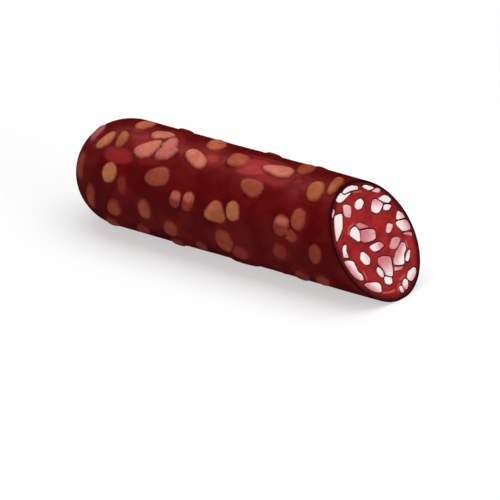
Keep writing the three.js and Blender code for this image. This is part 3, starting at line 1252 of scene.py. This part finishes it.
@dataclass
class LeanMeat:
    """The lean filling, whose cut face is finely divided so that it can be shaded and dished."""

    body: Body
    nodes: dict[str, bpy.types.Object]
    grid: float = 0.8 * MM
    reach: float = 37 * MM
    line_tolerance: float = 0.0005 * MM
    least_facing: float = 0.999
    off_the_cut: float = 0.02 * MM
    dip_at_fat: float = 0.15 * MM
    dip_full: float = 0.2 * MM
    dip_ends: float = 1.4 * MM
    unevenness: float = 0.14 * MM
    unevenness_size: float = 6 * MM
    uneven_from: float = 0.3
    smear_width: float = 1.5 * MM
    faintness: float = 0.4 * MM
    clear: float = 9 * MM

    def face_of_cut(self, shape: bmesh.types.BMesh) -> list[bmesh.types.BMFace]:
        """Returns the faces that the cut lays open."""
        body = self.body
        return [
            face
            for face in shape.faces
            if face.normal.dot(body.cut_normal) > self.least_facing
            and abs(face.calc_center_median().dot(body.cut_normal) - body.cut_reach)
            < self.off_the_cut
        ]

    def divide(self, shape: bmesh.types.BMesh) -> None:
        """Divides the cut's faces by a square net of straight lines.

        Args:
            shape: The lean.
        """
        body = self.body
        faces = self.face_of_cut(shape)
        edges = {edge for face in faces for edge in face.edges}
        corners = {vertex for face in faces for vertex in face.verts}
        part: list[Any] = [*faces, *edges, *corners]
        lines = int(self.reach / self.grid)
        for across in (body.cut_right, body.cut_up):
            for i in range(-lines, lines + 1):
                made = bmesh.ops.bisect_plane(
                    shape,
                    geom=part,
                    dist=self.line_tolerance,
                    plane_co=body.cut_centre + across * (i * self.grid),
                    plane_no=across,
                )
                part = made["geom"]

    def smear_depth(self, right: float, up: float) -> float:
        """Measures how far inside a streak of fat a place on the cut is.

        Args:
            right: How far right of the cut's middle, in metres.
            up: How far above it.

        Returns:
            The distance, negative outside every streak.
        """
        place = Vector((right, up))
        nearest = self.clear
        for line in SMEARS:
            for start, end in zip(line, line[1:]):
                a, b = Vector(start) * MM, Vector(end) * MM
                share = min(1.0, max(0.0, (place - a).dot(b - a) / (b - a).length_squared))
                nearest = min(nearest, (place - a - share * (b - a)).length)
        return self.smear_width / 2 - nearest

    def measured(
        self, shape: bmesh.types.BMesh, on_cut: list[bmesh.types.BMVert]
    ) -> dict[str, np.ndarray]:
        """Measures what the finish reads, where the cut lays the lean open.

        Args:
            shape: The divided lean.
            on_cut: Its vertices on the cut.

        Returns:
            By name, one distance for each vertex. The rest are so far off that nothing shows.
        """
        body = self.body
        fat = (node for name, node in self.nodes.items() if name.startswith("fat_in_cut"))
        dice = Surfaces(fat, self.clear)
        faint = {f"fat_in_cut_{i:02d}" for i in FAINTLY_SHADED}
        near = np.full(len(shape.verts), self.clear)
        rim = np.full(len(shape.verts), self.clear)
        smear = np.full(len(shape.verts), -self.clear)
        for vertex in on_cut:
            i = vertex.index
            distance, name = dice.nearest(vertex.co)
            near[i] = distance + (self.faintness if name in faint else 0)
            rim[i] = body.radius - math.hypot(vertex.co.y, vertex.co.z - body.axis_height)
            offset = vertex.co - body.cut_centre
            smear[i] = self.smear_depth(offset.dot(body.cut_right), offset.dot(body.cut_up))
        return {"near_fat": near, "rim_distance": rim, "smear": smear}

    def dish(self, on_cut: list[bmesh.types.BMVert], near: np.ndarray) -> None:
        """Lowers the cut's face unevenly, and a little more beside each die.

        Args:
            on_cut: The vertices on the cut.
            near: How far each vertex is from the nearest die.
        """
        for vertex in on_cut:
            away = smooth_step(near[vertex.index], self.dip_full, self.dip_ends)
            dip = self.dip_at_fat * (1 - away)
            rough = noise.noise(vertex.co / self.unevenness_size) - self.uneven_from
            uneven = self.unevenness * rough
            vertex.co += self.body.cut_normal * (min(0.0, uneven) - dip)

    def build(self) -> bpy.types.Object:
        """Builds the lean meat.

        Returns:
            The finished piece.
        """
        shape = merged_copy(self.nodes["lean_meat"])
        self.divide(shape)
        shape.normal_update()
        shape.verts.index_update()
        cut_corners = {vertex for face in self.face_of_cut(shape) for vertex in face.verts}
        on_cut = [vertex for vertex in shape.verts if vertex in cut_corners]
        distances = self.measured(shape, on_cut)
        self.dish(on_cut, distances["near_fat"])
        piece = piece_from(shape, "lean_filling", 40)
        for name, values in distances.items():
            paint(piece, name, values)
        piece.data.materials.append(LeanFinish().made())
        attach(piece, ROOT_BODY)
        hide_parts("lean_meat")
        return piece


# ---------------------------------------------------------------------------------------------------
# The dice of fat
# ---------------------------------------------------------------------------------------------------


@dataclass(frozen=True)
class Marbling:
    """How pink a die is, from one side of it to the other.

    Attributes:
        start: The pinkness on the one side, from 0, white, to 1.
        end: The pinkness on the other.
        towards: Degrees up from the cut's right, towards the other side.
    """

    start: float
    end: float
    towards: float = 0.0


# One for each die in the cut, in the order of their numbers.
MARBLING_IN_CUT = (
    Marbling(0.1, 0.3),
    Marbling(0.0, 0.15),
    Marbling(0.0, 0.2),
    Marbling(0.45, 0.6),
    Marbling(0.5, 0.6),
    Marbling(0.0, 0.35, 200),
    Marbling(0.5, 0.65, 270),
    Marbling(0.1, 0.3, 270),
    Marbling(0.75, 0.0, 250),
    Marbling(0.05, 0.2),
    Marbling(0.1, 0.35),
    Marbling(0.0, 0.15),
    Marbling(0.9, 1.0),
    Marbling(1.0, 0.6, 315),
    Marbling(0.1, 0.85),
    Marbling(0.45, 0.55),
    Marbling(0.05, 0.65),
    Marbling(0.05, 0.75),
    Marbling(0.7, 0.9),
    Marbling(0.0, 0.5, 270),
    Marbling(0.0, 0.85, 205),
    Marbling(0.0, 0.45),
    Marbling(1.0, 0.3, 270),
    Marbling(0.2, 0.45),
    Marbling(0.0, 0.1),
    Marbling(0.7, 0.85),
    Marbling(0.8, 0.0, 300),
    Marbling(0.1, 0.35),
    Marbling(0.7, 0.85),
    Marbling(0.0, 0.85, 215),
    Marbling(0.0, 0.65, 300),
    Marbling(0.0, 0.7, 270),
    Marbling(0.0, 0.7, 270),
)


@dataclass
class FatDice:
    """The dice of back fat, each its solid with softened edges."""

    body: Body
    nodes: dict[str, bpy.types.Object]
    voxel: float = 0.26 * MM
    softening: int = 2
    softening_factor: float = 0.5
    lump: float = 0.1 * MM
    lump_size: float = 1.8 * MM
    proud: float = 0.1 * MM
    under_casing: Marbling = Marbling(0.3, 0.6)

    def softened(self, node: bpy.types.Object, name: str) -> bpy.types.Object:
        """Copies a die's solid with an even fine mesh and rounded edges.

        Args:
            node: The solid's object.
            name: The new piece's name.

        Returns:
            The new piece.
        """
        piece = piece_from(merged_copy(node), name)
        even = piece.modifiers.new("even_mesh", "REMESH")
        even.mode = "VOXEL"
        even.voxel_size = self.voxel
        graph = bpy.context.evaluated_depsgraph_get()
        shape = bmesh.new()
        shape.from_mesh(piece.evaluated_get(graph).data)
        bpy.data.objects.remove(piece)
        for _ in range(self.softening):
            bmesh.ops.smooth_vert(
                shape,
                verts=shape.verts,
                factor=self.softening_factor,
                use_axis_x=True,
                use_axis_y=True,
                use_axis_z=True,
            )
        shape.normal_update()
        for vertex in shape.verts:
            vertex.co += vertex.normal * (self.lump * noise.noise(vertex.co / self.lump_size))
        return piece_from(shape, name, 180)

    def marble(self, piece: bpy.types.Object, marbling: Marbling) -> None:
        """Stores how pink each vertex of a die is.

        Args:
            piece: The die.
            marbling: Where it is pink.
        """
        angle = math.radians(marbling.towards)
        towards = self.body.cut_right * math.cos(angle) + self.body.cut_up * math.sin(angle)
        along = points_of(piece) @ np.array(towards)
        share = smooth_step(along, along.min(), along.max())
        paint(piece, "pink", marbling.start + (marbling.end - marbling.start) * share)

    def build(self) -> list[bpy.types.Object]:
        """Builds every die.

        Returns:
            The finished pieces.
        """
        finish = FatFinish().made()
        pieces = []
        for node_name in sorted(name for name in self.nodes if name.startswith("fat_")):
            in_cut = node_name.startswith("fat_in_cut_")
            number = int(node_name[-2:])
            name = f"{'cut' if in_cut else 'skin'}_die_{number:02d}"
            piece = self.softened(self.nodes[node_name], name)
            if in_cut:
                piece.data.transform(Matrix.Translation(self.body.cut_normal * self.proud))
            self.marble(piece, MARBLING_IN_CUT[number - 1] if in_cut else self.under_casing)
            piece.data.materials.append(finish)
            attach(piece, ROOT_BODY)
            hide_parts(node_name)
            pieces.append(piece)
        return pieces


# ---------------------------------------------------------------------------------------------------
# The studio
# ---------------------------------------------------------------------------------------------------


@dataclass(frozen=True)
class Softbox:
    """A rectangular light with its long side along the sausage.

    Attributes:
        name: What it is for.
        towards: Where it hangs, as a direction from the sausage.
        distance: How far away.
        length: Its size along the sausage.
        width: Its size across.
        power: Watts.
        tint: Its colour.
        gloss_only: Whether it is only seen mirrored. The others light the scene and aren't mirrored.
    """

    name: str
    towards: tuple[float, float, float]
    distance: float
    length: float
    width: float
    power: float
    tint: tuple[float, float, float] = (1.0, 1.0, 1.0)
    gloss_only: bool = False

    def hang(self, aim: Vector) -> bpy.types.Object:
        """Hangs the light.

        Args:
            aim: What it faces.

        Returns:
            The light's object.
        """
        light = bpy.data.lights.new(self.name, "AREA")
        light.shape = "RECTANGLE"
        light.size = self.length
        light.size_y = self.width
        light.energy = self.power
        light.color = self.tint
        back = Vector(self.towards).normalized()
        across = back.cross(Vector((1, 0, 0))).normalized()
        turned = Matrix((across.cross(back), across, back)).transposed().to_4x4()
        lamp = bpy.data.objects.new(self.name, light)
        lamp.visible_glossy = self.gloss_only
        lamp.visible_diffuse = not self.gloss_only
        lamp.matrix_world = Matrix.Translation(aim + back * self.distance) @ turned
        bpy.context.scene.collection.objects.link(lamp)
        return lamp


@dataclass
class Studio:
    """A pale floor, soft lights and the camera."""

    aim: Vector
    camera_place: tuple[float, float, float] = (1.4497, -2.2410, 1.3191)
    camera_aim: tuple[float, float, float] = (21.95 * MM, -25.58 * MM, 18.4 * MM)
    lens: float = 384.2
    sight: float = 50.0
    floor_size: float = 12.0
    floor_drop: float = 0.1 * MM
    floor_colour: Colour = (0.42, 0.42, 0.42, 1.0)
    floor_tones: Spread = (0.99, 1.0)
    floor_cloud_size: float = 0.6
    floor_glow: float = 0.52
    world_colour: Colour = (1.0, 0.995, 0.985, 1.0)
    world_strength: float = 0.35
    lights: tuple[Softbox, ...] = (
        Softbox("overhead", (0.0, 0.12, 1.0), 1.6, 2.4, 1.6, 29.0),
        Softbox("highlight", (-0.476, 0.302, 0.827), 1.0, 0.6, 0.2, 3.5, (1.0, 0.5, 0.45), True),
        Softbox("cut_light", (0.93, -0.2, 0.35), 1.2, 0.7, 0.7, 4.6),
    )

    def lay_floor(self) -> bpy.types.Object:
        """Lays the floor.

        Returns:
            The floor.
        """
        shape = bmesh.new()
        bmesh.ops.create_grid(shape, x_segments=8, y_segments=8, size=self.floor_size / 2)
        bmesh.ops.translate(shape, vec=(0, 0, -self.floor_drop), verts=shape.verts)
        floor = piece_from(shape, "studio_floor")
        finish = Finish("floor_finish")
        tone = finish.ease(
            finish.grain(self.floor_cloud_size), *GRAIN_SPREAD, *self.floor_tones
        )
        finish.set(
            Base_Color=finish.mix(1.0, self.floor_colour, tone, blend="MULTIPLY"),
            Roughness=0.9,
            Specular_IOR_Level=0.1,
            Emission_Color=(1.0, 1.0, 1.0, 1.0),
            Emission_Strength=self.floor_glow,
        )
        floor.data.materials.append(finish.material)
        floor.visible_glossy = False
        floor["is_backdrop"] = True
        return floor

    def light(self) -> None:
        """Hangs the lights and sets the world's glow."""
        world = bpy.data.worlds.new("studio_world")
        world.use_nodes = True
        glow = world.node_tree.nodes["Background"]
        glow.inputs["Color"].default_value = self.world_colour
        glow.inputs["Strength"].default_value = self.world_strength
        world.cycles_visibility.glossy = False
        bpy.context.scene.world = world
        for softbox in self.lights:
            softbox.hang(self.aim)

    def place_camera(self) -> bpy.types.Object:
        """Puts the camera in place.

        Returns:
            The camera.
        """
        camera = bpy.data.objects.new("camera", bpy.data.cameras.new("camera"))
        camera.data.lens = self.lens
        camera.data.clip_end = self.sight
        backwards = Vector(self.camera_place) - Vector(self.camera_aim)
        camera.location = self.camera_place
        camera.rotation_euler = backwards.to_track_quat("Z", "Y").to_euler()
        bpy.context.scene.collection.objects.link(camera)
        bpy.context.scene.camera = camera
        return camera

    def build(self) -> None:
        """Builds the studio."""
        self.place_camera()
        self.lay_floor()
        self.light()
        bpy.context.scene.view_settings.view_transform = "Standard"


def write_sizes() -> None:
    """Gathers the solids' box and the finished model's box as plain lists; they are not written
    anywhere.
    """
    boxes = {"cad": CAD_BOX, "visual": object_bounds()}
    plain = {name: [[float(v) for v in corner] for corner in box] for name, box in boxes.items()}


def main() -> None:
    """Builds the sausage piece by piece, then the studio around it."""
    logging.basicConfig(level=logging.INFO, format="%(name)s: %(message)s")
    nodes = frame["nodes"]
    body = Body.measured(nodes)
    LOG.info("body: radius %.4f m, cut centre %s", body.radius, tuple(body.cut_centre))
    casing = Casing(body, FatMap(body, nodes)).build()
    LOG.info("casing: %s, %d faces", casing.name, len(casing.data.polygons))
    lean = LeanMeat(body, nodes).build()
    LOG.info("lean meat: %s, %d faces", lean.name, len(lean.data.polygons))
    dice = FatDice(body, nodes).build()
    for die in dice:
        LOG.info("die of fat: %s, %d faces", die.name, len(die.data.polygons))
    Studio(aim=Vector((0, 0, body.axis_height))).build()
    LOG.info("studio: floor, lights and camera")
    write_sizes()


if __name__ == "__main__":
    main()
